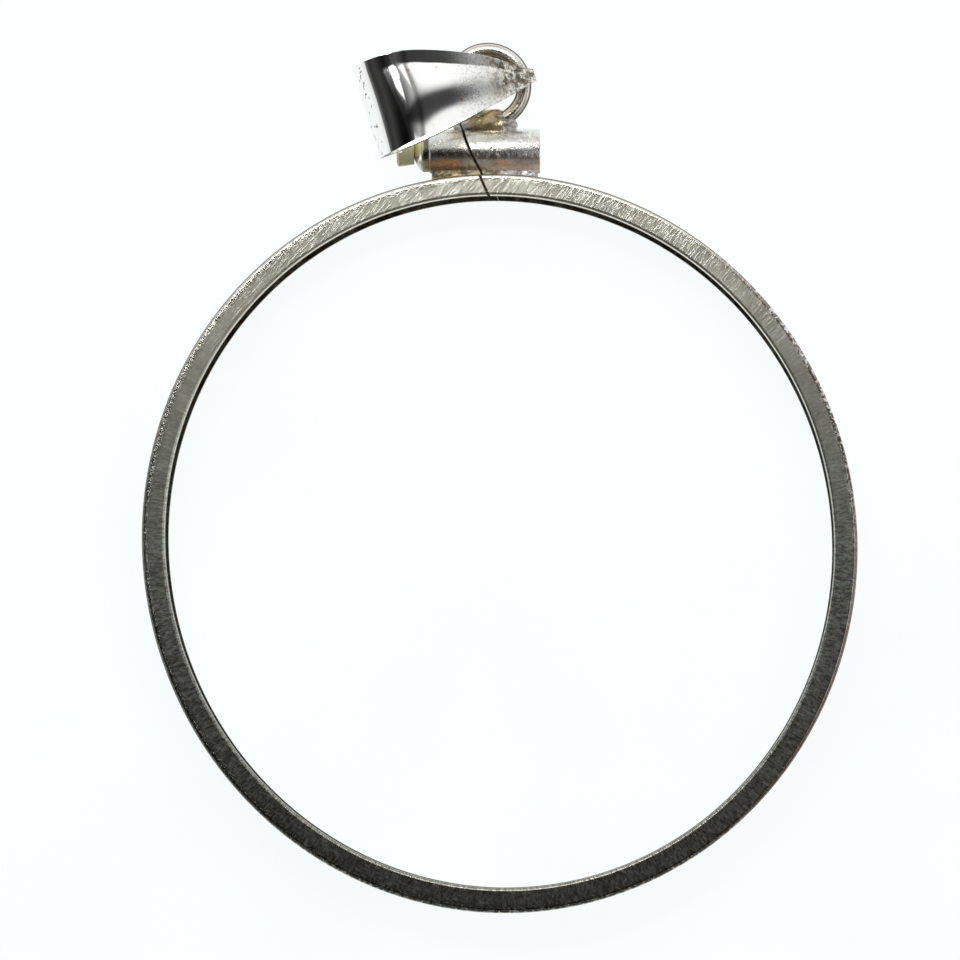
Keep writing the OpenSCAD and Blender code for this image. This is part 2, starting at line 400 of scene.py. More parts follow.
def worn_ring_silver():
    """Brushed silver, bright at the top and darkened low down by patina and painted shade, with a
    battered corner and painted glints.
    """
    nodes = Material("worn_ring_silver")
    c = nodes.colours
    inset = inset_from_edge(nodes)
    x, y, z = nodes.axes()
    shoulder = nodes.fit(inset, 0.26 * MM, 0.18 * MM)
    # Brush lines run outwards all round, with slanted hairlines, most of them at the top
    brush = nodes.noise(1.0, 3, 0.6, polar(nodes, 210, 500))
    fine_brush = nodes.noise(1.0, 2, 0.5, polar(nodes, 420, 800))
    slanted = hairlines(nodes, 50, 0.08 * MM, 0.9 * MM, 0.54, 0.68)
    crossed = hairlines(nodes, 58, 0.07 * MM, 0.7 * MM, 0.56, 0.70)
    lines = nodes.most(slanted, nodes.times(crossed, 0.7))
    lines = nodes.times(lines, nodes.fit(y, 9 * MM, 17 * MM, 0.2, 1.0))
    grain = nodes.noise(5200, 3, 0.65)
    cloud = nodes.fit(nodes.noise(260, 4, 0.6), 0.35, 0.75)
    colour = nodes.blend(nodes.times(cloud, 0.25), c["ring_silver"], c["warm_silver"])
    streaks = nodes.fit(nodes.plus(brush, nodes.times(lines, 0.22)), 0.35, 0.75)
    colour = nodes.blend(nodes.fit(streaks, 0, 1, 0.28, 0.0), colour, c["brown_silver"])
    colour = nodes.blend(nodes.times(lines, 0.6), colour, c["hairline"])
    # Old greenish patina and painted shade darken the lower half, in fine mottling, and the painted
    # shade deepens towards the bottom
    low = nodes.fit(y, 12 * MM, -2 * MM)
    mottle = nodes.fit(nodes.noise(1.0, 4, 0.7, polar(nodes, 190, 2600)), 0.42, 0.60)
    shade = nodes.times(mottle, low, 0.8)
    colour = nodes.blend(nodes.times(low, 0.55), colour, c["patina"])
    colour = nodes.blend(nodes.fit(y, 0, -15 * MM, 0.0, 0.5), colour, c["tarnish"])
    colour = nodes.blend(shade, colour, c["tarnish"])
    # The right-hand corner is stained a reddish brown, with light specks towards the top that are
    # painted glints
    ragged = nodes.plus(inset, nodes.times(nodes.noise(2600, 3, 0.7), 0.2 * MM))
    edge = nodes.fit(ragged, 0.36 * MM, 0.28 * MM)
    front = nodes.fit(z, 1.10 * MM, 1.35 * MM)
    right = nodes.times(edge, front, nodes.fit(x, 10 * MM, 14.5 * MM))
    specks = nodes.fit(nodes.noise(4200, 3, 0.7), 0.50, 0.58)
    specks = nodes.times(specks, right, nodes.fit(y, -1 * MM, 7 * MM))
    colour = nodes.blend(nodes.times(right, 0.85), colour, c["red_brown"])
    # Painted shade darkens the channel's inside, in mottled tarnished colour
    wall = nodes.fit(z, 1.56 * MM, 1.53 * MM)
    mottled = nodes.fit(nodes.noise(1300, 4, 0.7), 0.35, 0.60, 0.55, 1.0)
    inner = nodes.times(nodes.fit(inset, 0.45 * MM, 0.55 * MM), wall)
    colour = nodes.blend(nodes.times(inner, mottled), colour, c["tarnish"])
    # The outer wall is darkened with mottled tarnished colour, darkest along its front edge, where
    # it is a painted dark outline
    worn_wall = nodes.fit(nodes.noise(420, 4, 0.65), 0.35, 0.65, 0.25, 0.65)
    outer = nodes.fit(inset, 0.09 * MM, 0.05 * MM)
    outer = nodes.times(outer, nodes.most(worn_wall, front), 0.9)
    colour = nodes.blend(outer, colour, c["tarnish"])
    # Brush lines, dents and a battered outer zone, one relief on the other
    height = brush
    for layer, share in ((fine_brush, 0.5), (grain, 0.3), (lines, 1.6)):
        height = nodes.plus(height, nodes.times(layer, share))
    fine = nodes.bump(height, nodes.less(0.24, nodes.times(shoulder, 0.15)), 0.016 * MM)
    dents = nodes.noise(1.0, 2, 0.5, polar(nodes, 60, 1500))
    worn = nodes.bump(dents, nodes.times(shoulder, 0.35), 0.04 * MM, fine)
    battered = nodes.noise(1.0, 4, 0.7, polar(nodes, 130, 5200))
    zone = nodes.fit(inset, 0.52 * MM, 0.26 * MM)
    zone = nodes.times(zone, nodes.fit(x, 9 * MM, -2 * MM, 0.12, 1.0))
    worn = nodes.bump(battered, nodes.times(zone, 0.55), 0.05 * MM, worn)
    # Painted glints in a pale colour that is not metal: short bright nicks on the corner at both
    # sides, a bright band on it at the foot, and scuffs across the face
    wiggles = nodes.less(nodes.noise(1.0, 2, 0.5, polar(nodes, 95, 3000)), 0.5)
    nicks = nodes.fit(nodes.sums("ABSOLUTE", wiggles), 0.03, 0.008, 0.0, 0.8)
    corner = nodes.fit(inset, 0.10 * MM, 0.15 * MM)
    corner = nodes.times(corner, nodes.fit(inset, 0.46 * MM, 0.30 * MM))
    nicks = nodes.times(nicks, corner, nodes.fit(nodes.noise(700, 2), 0.42, 0.55))
    sides = nodes.most(nodes.fit(x, -12.5 * MM, -15.5 * MM), nodes.fit(x, 11 * MM, 14 * MM, 0, 0.8))
    nicks = nodes.times(nicks, sides, nodes.fit(y, -6 * MM, 0))
    foot_glints = nodes.fit(inset, 0.20 * MM, 0.12 * MM)
    foot_glints = nodes.times(foot_glints, nodes.fit(nodes.noise(4200, 3, 0.7), 0.50, 0.60))
    foot_glints = nodes.times(foot_glints, nodes.fit(y, -13 * MM, -17 * MM, 0, 0.6))
    scuff_glints = nodes.most(hairlines(nodes, -28, 0.07 * MM, 0.5 * MM, 0.56, 0.70),
                        hairlines(nodes, 64, 0.07 * MM, 0.4 * MM, 0.58, 0.72))
    scuff_glints = nodes.times(scuff_glints, low, 0.22)
    nicks = nodes.times(front, nodes.most(nicks, foot_glints))
    bright = nodes.most(nicks, nodes.most(scuff_glints, specks))
    colour = nodes.blend(bright, colour, c["bright_silver"])
    rough = nodes.fit(nodes.noise(900, 2), 0.3, 0.7, 0.305, 0.335)
    for smoother, share in ((zone, 0.08), (shoulder, 0.14)):
        rough = nodes.less(rough, nodes.times(smoother, share))
    # The saw cut is painted dark as shade in the slot, with some dirt; it and the painted glints
    # are not metal
    dirt = saw_cut_dirt_and_shade(nodes)
    dull = nodes.most(dirt, nodes.times(bright, 0.9))
    return nodes.finish(
        Base_Color=nodes.blend(dirt, colour, c["dirt"]), Metallic=nodes.less(1.0, dull),
        Roughness=nodes.most(rough, dirt), Normal=worn)


def polished_silver():
    """The bail's faces: bright, nicked at the fold, rough and stained round the eye."""
    nodes = Material("polished_silver")
    c = nodes.colours
    # Distance from the eye along the leaves
    along = nodes.seen_from(EYE_CENTRE, (0, 0, BAIL_TURN))[0]
    near_tip = nodes.fit(along, 4.0 * MM, 2.2 * MM)
    at_tip = nodes.fit(along, 2.4 * MM, 1.0 * MM)
    end = nodes.fit(along, 1.9 * MM, 1.0 * MM)
    grain = nodes.noise(5200, 3, 0.7)
    lumps = nodes.noise(1700, 4, 0.65)
    height = nodes.plus(nodes.times(grain, 0.5), nodes.times(lumps, 0.8))
    strength = nodes.plus(0.015, nodes.times(near_tip, 0.5))
    spots = nodes.fit(nodes.noise(1400, 4, 0.7), 0.60, 0.66)
    olive = nodes.fit(nodes.noise(1900, 4, 0.7), 0.40, 0.56)
    dark = nodes.fit(nodes.noise(2300, 4, 0.7), 0.46, 0.54)
    specks = nodes.times(near_tip, nodes.fit(nodes.noise(7000, 3, 0.7), 0.50, 0.62))
    colour = nodes.blend(nodes.times(spots, 0.25), c["bright_silver"], c["warm_silver"])
    colour = nodes.blend(nodes.times(olive, at_tip, 0.7), colour, c["warm_silver"])
    colour = nodes.blend(nodes.times(dark, end, 0.85), colour, c["tarnish"])
    colour = nodes.blend(nodes.times(specks, 0.4), colour, c["tarnish"])
    nicks = nodes.fit(nodes.stretched((6200, 2800, 2800), 3, 0.6), 0.60, 0.62)
    fold = nodes.fit(along, 8.15 * MM, 8.25 * MM)
    fold = nodes.times(fold, nodes.fit(along, 8.60 * MM, 8.50 * MM))
    colour = nodes.blend(nodes.times(nicks, fold), colour, c["tarnish"])
    # Three small orange and pink stains on the front leaf
    x, y, z = nodes.axes()
    above = nodes.fit(nodes.plus(z, nodes.times(x, 0.6)), 0.5 * MM, 0.9 * MM, 0, 0.75)
    for sx, sy, size in ((-4.83, 25.24, 0.13), (-3.33, 25.50, 0.10), (-1.99, 23.80, 0.12)):
        away = nodes.length(nodes.less(x, sx * MM), nodes.less(y, sy * MM))
        spot = nodes.times(nodes.fit(away, size * MM, 0.4 * size * MM), above)
        colour = nodes.blend(spot, colour, c["copper"])
    roughness = nodes.plus(0.10, nodes.times(near_tip, 0.20))
    return nodes.finish(
        Base_Color=colour, Metallic=1.0, Roughness=roughness,
        Normal=nodes.bump(height, strength, 0.03 * MM))


def sheet_edge_silver():
    """The bail's cut edges, dull with patches of brown."""
    nodes = Material("sheet_edge_silver")
    c = nodes.colours
    patches = nodes.fit(nodes.noise(1500, 4, 0.65), 0.35, 0.65)
    colour = nodes.blend(patches, c["brown_silver"], c["silver"])
    return nodes.finish(
        Base_Color=colour, Metallic=1.0, Roughness=nodes.fit(patches, 0, 1, 0.4, 0.25),
        Normal=nodes.bump(nodes.noise(3000, 4, 0.7), 0.4, 0.02 * MM))


def grained_barrel_silver():
    """Grainy silver, brown and copper low down, with a polished dome at its left end."""
    nodes = Material("grained_barrel_silver")
    c = nodes.colours
    x, y, z = nodes.axes()
    # The polished dome lies left of the collar; the rest is grainy
    plain = nodes.fit(x, -4.24 * MM, -4.16 * MM)
    grain = nodes.noise(3800, 4, 0.7)
    dents = nodes.fit(nodes.stretched((2600, 1500, 1500), 3, 0.6), 0.55, 0.70)
    patchy = nodes.fit(nodes.noise(620, 4, 0.6), 0.42, 0.56)
    low = nodes.fit(y, BARREL_Y - 0.25 * MM, BARREL_Y - 0.5 * MM)
    lower = nodes.fit(y, BARREL_Y - 0.45 * MM, BARREL_Y - 0.6 * MM)
    # The lower rim carries a painted light pink reflection on the right, and is brown on the left
    rim = nodes.fit(y, BARREL_Y - 0.78 * MM, BARREL_Y - 0.90 * MM)
    right_rim_reflection = nodes.times(rim, nodes.fit(x, -1.7 * MM, -0.6 * MM))
    rim_left = nodes.less(rim, right_rim_reflection)
    cream = nodes.fit(x, 0.5 * MM, -2.5 * MM)
    cream = nodes.times(cream, nodes.fit(nodes.noise(500, 3), 0.38, 0.55))
    colour = nodes.blend(nodes.times(cream, 0.6), c["silver"], c["warm_silver"])
    brown = nodes.times(low, nodes.fit(nodes.noise(900, 4, 0.7), 0.3, 0.6, 0.15, 0.65))
    colour = nodes.blend(brown, colour, c["brown_silver"])
    ends = nodes.most(nodes.fit(x, -1.9 * MM, -2.3 * MM), nodes.fit(x, -0.4 * MM, 0.0))
    copper = nodes.times(lower, patchy, nodes.fit(ends, 0, 1, 0.12, 1.0))
    colour = nodes.blend(nodes.times(copper, 0.85), colour, c["copper"])
    dirt = nodes.fit(nodes.stretched((1500, 3400, 3400), 4, 0.7), 0.56, 0.68)
    colour = nodes.blend(nodes.times(dirt, 0.45), colour, c["tarnish"])
    colour = nodes.blend(nodes.times(right_rim_reflection, 0.85), colour, c["pink_rim"])
    colour = nodes.blend(nodes.times(rim_left, 0.7), colour, c["brown_silver"])
    collar = nodes.times(nodes.fit(x, -3.80 * MM, -3.86 * MM), 0.85)
    colour = nodes.blend(collar, colour, nodes.blend(lower, c["tarnish"], c["gold"]))
    left_end = nodes.fit(x, -4.10 * MM, -4.16 * MM)
    yellow = nodes.times(left_end, nodes.fit(y, BARREL_Y - 0.35 * MM, BARREL_Y - 0.2 * MM))
    colour = nodes.blend(left_end, colour, c["bright_silver"])
    colour = nodes.blend(nodes.times(yellow, 0.85), colour, c["brass"])
    # The stained lower half, the yellow patch and the painted pink reflection on the rim are dull,
    # not bare metal
    dull = nodes.most(nodes.times(lower, 0.65), nodes.times(yellow, 0.8))
    dull = nodes.most(dull, nodes.times(nodes.most(right_rim_reflection, copper), 0.9))
    height = nodes.less(nodes.times(grain, 0.8), dents)
    roughness = nodes.fit(grain, 0.3, 0.7, 0.20, 0.34)
    roughness = nodes.times(roughness, nodes.fit(plain, 0, 1, 0.3, 1.0))
    # The saw cut is painted dark, as shade in the slot with some dirt
    cut = saw_cut_dirt_and_shade(nodes)
    return nodes.finish(
        Base_Color=nodes.blend(cut, colour, c["dirt"]),
        Metallic=nodes.less(1.0, nodes.most(cut, dull)),
        Roughness=nodes.most(roughness, cut),
        Normal=nodes.bump(height, nodes.times(plain, 0.6), 0.035 * MM))


def wire_silver():
    """Round wire, worn bright on top, darkened at its sides, partly tarnished and partly painted
    shade, and golden inside the loop.
    """
    nodes = Material("wire_silver")
    c = nodes.colours
    x, y, z = nodes.seen_from(LOOP_CENTRE)
    radius = nodes.length(x, y)
    grain = nodes.noise(2800, 4, 0.6)
    stain = nodes.fit(nodes.noise(1100, 4, 0.6), 0.38, 0.55)
    inside = nodes.times(nodes.fit(radius, 1.98 * MM, 1.80 * MM), stain)
    colour = nodes.blend(nodes.times(stain, 0.3), c["silver"], c["warm_silver"])
    colour = nodes.blend(nodes.times(inside, 0.8), colour, c["gold"])
    # The sides are darkened, partly tarnished and partly painted shade that draws a dark outline
    # along the wire
    normal = nodes.tree.nodes.new("ShaderNodeTexCoord").outputs["Normal"]
    upright = nodes.sums("ABSOLUTE", nodes.axes(normal)[2])
    dirt = nodes.times(nodes.fit(upright, 0.75, 0.5), 0.9)
    colour = nodes.blend(dirt, colour, c["tarnish"])
    rough = nodes.most(nodes.fit(grain, 0.3, 0.7, 0.16, 0.30), nodes.times(dirt, 0.7))
    return nodes.finish(
        Base_Color=colour, Metallic=nodes.less(1.0, dirt), Roughness=rough,
        Specular_IOR_Level=0.0, Normal=nodes.bump(grain, 0.35, 0.03 * MM))


def rough_solder():
    """Lumpy golden solder, greyer towards the right."""
    nodes = Material("rough_solder")
    c = nodes.colours
    lumps = nodes.noise(1500, 5, 0.65)
    cells = nodes.node("ShaderNodeTexVoronoi", {"Vector": nodes.place, "Scale": 1500})
    pits = nodes.fit(cells.outputs["Distance"], 0.0, 0.35)
    dark = nodes.fit(nodes.stretched((900, 1900, 1900), 4, 0.7), 0.48, 0.60)
    gold = nodes.fit(nodes.noise(900, 3, 0.5), 0.36, 0.52)
    right = nodes.fit(nodes.axes()[0], -0.1 * MM, 0.5 * MM)
    colour = nodes.blend(nodes.less(gold, right), c["silver"], c["gold"])
    colour = nodes.blend(nodes.times(dark, 0.8), colour, c["tarnish"])
    height = nodes.plus(lumps, nodes.times(pits, 0.4))
    # The saw cut is painted dark, as shade in the slot with some dirt
    cut = saw_cut_dirt_and_shade(nodes)
    return nodes.finish(
        Base_Color=nodes.blend(cut, colour, c["dirt"]),
        Metallic=nodes.less(0.75, nodes.times(cut, 0.75)),
        Roughness=nodes.most(nodes.fit(lumps, 0.3, 0.7, 0.22, 0.42), cut),
        Normal=nodes.bump(height, 0.8, 0.06 * MM))


def screw_brass():
    """Dull pale brass with upright streaks."""
    nodes = Material("screw_brass")
    c = nodes.colours
    streaks = nodes.stretched((5200, 700, 700), 3, 0.6)
    colour = nodes.blend(nodes.fit(streaks, 0.35, 0.7), c["brass"], c["pale_brass"])
    return nodes.finish(
        Base_Color=colour, Metallic=0.0, Roughness=0.4,
        Normal=nodes.bump(streaks, 0.3, 0.02 * MM))


def floor_card():
    """A light table: mostly its own light, so that shadows on it are faint."""
    nodes = Material("floor_card")
    pale = nodes.colours["floor"]
    mottle = nodes.fit(nodes.noise(60, 3), 0.3, 0.7)
    colour = nodes.blend(mottle, pale, tuple(0.985 * value for value in pale))
    dim = nodes.blend(0.92, colour, (0, 0, 0))
    return nodes.finish(
        Base_Color=dim, Roughness=0.8, Emission_Color=colour, Emission_Strength=0.965)


def dress(piece, material, body):
    """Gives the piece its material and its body."""
    piece.data.materials.clear()
    piece.data.materials.append(material)
    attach(piece, body)


# The pieces

class PENDANT_OT_ring(bpy.types.Operator):
    """Model the split channel ring, one ring of edges at a time"""
    bl_idname = "pendant.ring"
    bl_label = "Channel Ring"

    def execute(self, context):
        sizes = context.scene.ring_sizes
        half, band, curve = sizes.depth / 2, sizes.band, sizes.shoulder
        lip, wall, lift, chamfer = 0.45 * MM, 0.5 * MM, 0.09 * MM, 0.08 * MM
        channel = half - lip
        arc = [math.radians(step) for step in range(0, 91, 15)]
        # Each row is a distance in from the ring's outer face, a height, and a shift along +Y
        rows = [(curve * (1 - math.cos(a)), half - curve + curve * math.sin(a), 0) for a in arc]
        rows.append((curve + 0.03 * MM, half, 0))
        # The worn bevel at the front lip's inner edge: steps in and up from that edge, in mm
        bevel = ((-0.18, 0), (-0.15, 0), (-0.06, -0.04), (-0.05, -0.05), (0, -0.14), (0, -0.16))
        rows += [(band + inwards * MM, half + up * MM, lift) for inwards, up in bevel]
        rows += [
            (band, channel, lift), (wall, channel, 0), (wall, -channel, 0), (band, -channel, 0),
            (band, -half + chamfer, 0), (band - chamfer, -half, 0), (0.70 * band, -half, 0)]
        rows += [
            (curve * (1 - math.cos(a)), -half + curve - curve * math.sin(a), 0)
            for a in reversed(arc)]
        deselect()
        bpy.ops.mesh.primitive_circle_add(vertices=360, radius=1, enter_editmode=True)
        ring = named("channel_ring")
        bpy.ops.mesh.select_all(action="SELECT")
        inset, height, shift = rows[0]
        turn = Matrix.Rotation(-sizes.lean, 3, "Z")
        a, b = sizes.long_radius - inset, sizes.short_radius - inset
        bpy.ops.transform.resize(value=(a, b, 1), center_override=(0, 0, 0))
        bpy.ops.transform.translate(value=(0, 0, height))
        for inset, rise, lean_in in rows[1:] + rows[:1]:
            move = turn @ Vector((0, lean_in - shift, 0)) + Vector((0, 0, rise - height))
            bpy.ops.mesh.extrude_region_move(TRANSFORM_OT_translate={"value": move})
            c, d = sizes.long_radius - inset, sizes.short_radius - inset
            middle = turn @ Vector((0, lean_in, 0))
            bpy.ops.transform.resize(value=(c / a, d / b, 1), center_override=middle)
            a, b, height, shift = c, d, rise, lean_in
        close_up(ring)
        ring.rotation_euler = (0, 0, sizes.lean)
        settle(ring)
        saw_through(ring, RING_CUT)
        smooth(ring, 30)
        dress(ring, worn_ring_silver(), "bezel")
        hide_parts("bezel")
        return {"FINISHED"}


class PENDANT_OT_barrel(bpy.types.Operator):
    """Model the barrel with its collar, dome and bores, and the web under it"""
    bl_idname = "pendant.barrel"
    bl_label = "Screw Barrel"

    def execute(self, context):
        left, right, radius, bore = -3.8 * MM, 2.2 * MM, 1.2 * MM, 0.55 * MM
        collar, collar_end, dome = 1.12 * MM, -4.18 * MM, 1.5 * MM
        ball = collar_end + math.sqrt(dome ** 2 - collar ** 2)
        neck, neck_start, core, bore_end = 0.36 * MM, -4.0 * MM, 0.02 * MM, right - 1.6 * MM
        profile = [
            (bore_end, core), (bore_end, bore), (right - 0.06 * MM, bore),
            (right, bore + 0.06 * MM), (right, radius - 0.07 * MM),
            (right - 0.02 * MM, radius - 0.02 * MM), (right - 0.07 * MM, radius),
            (left + 0.05 * MM, radius), (left, radius - 0.05 * MM), (left, collar),
            (left - 0.34 * MM, collar)]
        first, last = math.asin(collar / dome), math.asin(neck / dome)
        dome_steps = 12
        for step in range(1, dome_steps + 1):
            a = first + (last - first) * step / dome_steps
            profile.append((ball - dome * math.cos(a), dome * math.sin(a)))
        profile += [(neck_start, neck), (neck_start, core)]
        barrel = turned("screw_barrel", (0, BARREL_Y, 0), profile, 128)
        saw_through(barrel, BARREL_CUT)
        smooth(barrel)
        dress(barrel, grained_barrel_silver(), "bezel")

        web = block(
            "barrel_web", (-0.8 * MM, 20.03 * MM, 0), (5.76 * MM, 0.86 * MM, 1.1 * MM))
        bpy.ops.object.mode_set(mode="EDIT")
        bpy.ops.mesh.select_all(action="SELECT")
        bpy.ops.mesh.subdivide(number_cuts=20)
        bpy.ops.object.mode_set(mode="OBJECT")
        use_modifier(web, "BEVEL", width=0.12 * MM, segments=3, limit_method="ANGLE")
        saw_through(web, WEB_CUT)
        smooth(web)
        dress(web, rough_solder(), "bezel")
        return {"FINISHED"}


class PENDANT_OT_loop(bpy.types.Operator):
    """Model the round wire loop and the solder that holds it on the barrel"""
    bl_idname = "pendant.loop"
    bl_label = "Wire Loop"

    def execute(self, context):
        deselect()
        bpy.ops.mesh.primitive_torus_add(
            major_radius=1.97 * MM, minor_radius=0.39 * MM, major_segments=160,
            minor_segments=40, location=LOOP_CENTRE)
        loop = named("wire_loop")
        settle(loop)
        smooth(loop)
        dress(loop, wire_silver(), "bezel")

        # Columns: place along the barrel and radius, in mm
        rows = [
            (-2.3, 0.02), (-2.15, 0.44), (-1.6, 0.66), (-1.2, 0.76), (-0.8, 0.84), (-0.35, 0.88),
            (0.05, 0.94), (0.35, 0.88), (0.6, 0.76), (0.9, 0.58), (1.15, 0.38), (1.3, 0.02)]
        centre = (-0.3 * MM, BARREL_Y + 1.42 * MM, 0)
        mass = turned("loop_solder", centre, [(x * MM, r * MM) for x, r in rows], 64)
        flatness = 0.62
        mass.scale = (1, 1, flatness)
        settle(mass)
        use_modifier(mass, "SUBSURF", levels=2, render_levels=2)
        lumps = bpy.data.textures.new("solder_lumps", "CLOUDS")
        lumps.noise_scale = 0.55 * MM
        use_modifier(mass, "DISPLACE", texture=lumps, strength=0.12 * MM, mid_level=0.62)
        saw_through(mass, BARREL_CUT)
        smooth(mass)
        dress(mass, rough_solder(), "bezel")
        return {"FINISHED"}


class PENDANT_OT_screw(bpy.types.Operator):
    """Model the clamping screw with its slotted head"""
    bl_idname = "pendant.screw"
    bl_label = "Clamping Screw"

    def execute(self, context):
        start = -5.59 * MM
        # Columns: distance from the head's end and radius, in mm
        rows = [(0, 0.02), (0, 0.66), (0.05, 0.76), (0.14, 0.82), (0.95, 0.70), (0.95, 0.31),
                (1.55, 0.31), (1.56, 0.50), (7.34, 0.50), (7.49, 0.35), (7.49, 0.02)]
        profile = [(start + x * MM, r * MM) for x, r in rows]
        screw = turned("clamping_screw", (0, BARREL_Y, 0), profile, 96)
        slot = block(
            "slot_blade", (start - 0.2 * MM, BARREL_Y, 0), (1.0 * MM, 0.22 * MM, 4 * MM))
        cut_away(screw, slot)
        smooth(screw)
        dress(screw, screw_brass(), "screw")
        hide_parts("screw")
        return {"FINISHED"}


# Columns: distance from the eye, half width, shift away from the barrel, and crown, in mm
BAIL_ROWS = [
    (-0.70, 0.18, -0.16, 0.00),
    (-0.45, 0.32, -0.16, 0.00),
    (-0.20, 0.40, -0.16, 0.00),
    (0.20, 0.50, -0.14, 0.00),
    (0.90, 0.74, -0.09, 0.05),
    (1.70, 1.02, 0.00, 0.13),
    (2.80, 1.36, 0.09, 0.19),
    (4.40, 1.73, 0.17, 0.26),
    (6.20, 2.08, 0.22, 0.31),
    (7.70, 2.33, 0.22, 0.27),
    (8.90, 2.46, 0.15, 0.15),
    (9.68, 2.55, 0.06, 0.01),
]


def bail_row(distance, column):
    """The value in that column at the distance from the eye, on a smooth curve through the rows."""
    distance = min(max(distance / MM, BAIL_ROWS[0][0]), BAIL_ROWS[-1][0])
    last = len(BAIL_ROWS) - 1
    index = min(last - 1, sum(1 for row in BAIL_ROWS[1:] if row[0] < distance))

    def steepness(i):
        before, after = BAIL_ROWS[max(0, i - 1)], BAIL_ROWS[min(last, i + 1)]
        return (after[column] - before[column]) / (after[0] - before[0])

    near, far = BAIL_ROWS[index], BAIL_ROWS[index + 1]
    span = far[0] - near[0]
    t = (distance - near[0]) / span
    value = near[column] * (1 + 2 * t) * (1 - t) ** 2 + far[column] * t * t * (3 - 2 * t)
    value += (span * steepness(index) * t * (1 - t) ** 2
              - span * steepness(index + 1) * t * t * (1 - t))
    return value * MM


def bail_stations(sizes):
    """Stations from the eye over the front leaf and the fold, and back under: place along,
    height, direction of the outer face, and the share of the shift."""
    eye, fold, reach = sizes.eye_radius, sizes.fold_radius, sizes.reach
    slope = math.asin((fold - eye) / reach)
    right_angle = math.radians(90)
    front = []
    for step in range(EYE_STEPS):
        a = math.radians(180) - (right_angle - slope) * step / EYE_STEPS
        front.append((eye * math.cos(a), eye * math.sin(a), a))
    for step in range(LEAF_STEPS):
        share = step / LEAF_STEPS
        radius, a = eye + (fold - eye) * share, right_angle + slope
        front.append((reach * share + radius * math.cos(a), radius * math.sin(a), a))
    for step in range(FOLD_STEPS + 1):
        a = (right_angle + slope) * (1 - step / FOLD_STEPS)
        front.append((reach + fold * math.cos(a), fold * math.sin(a), a))
    rear = [(x, -z, -a) for x, z, a in reversed(front[:-1])]
    return [(x, z, a, 1.0) for x, z, a in front] + [(x, z, a, REAR_SHIFT) for x, z, a in rear]


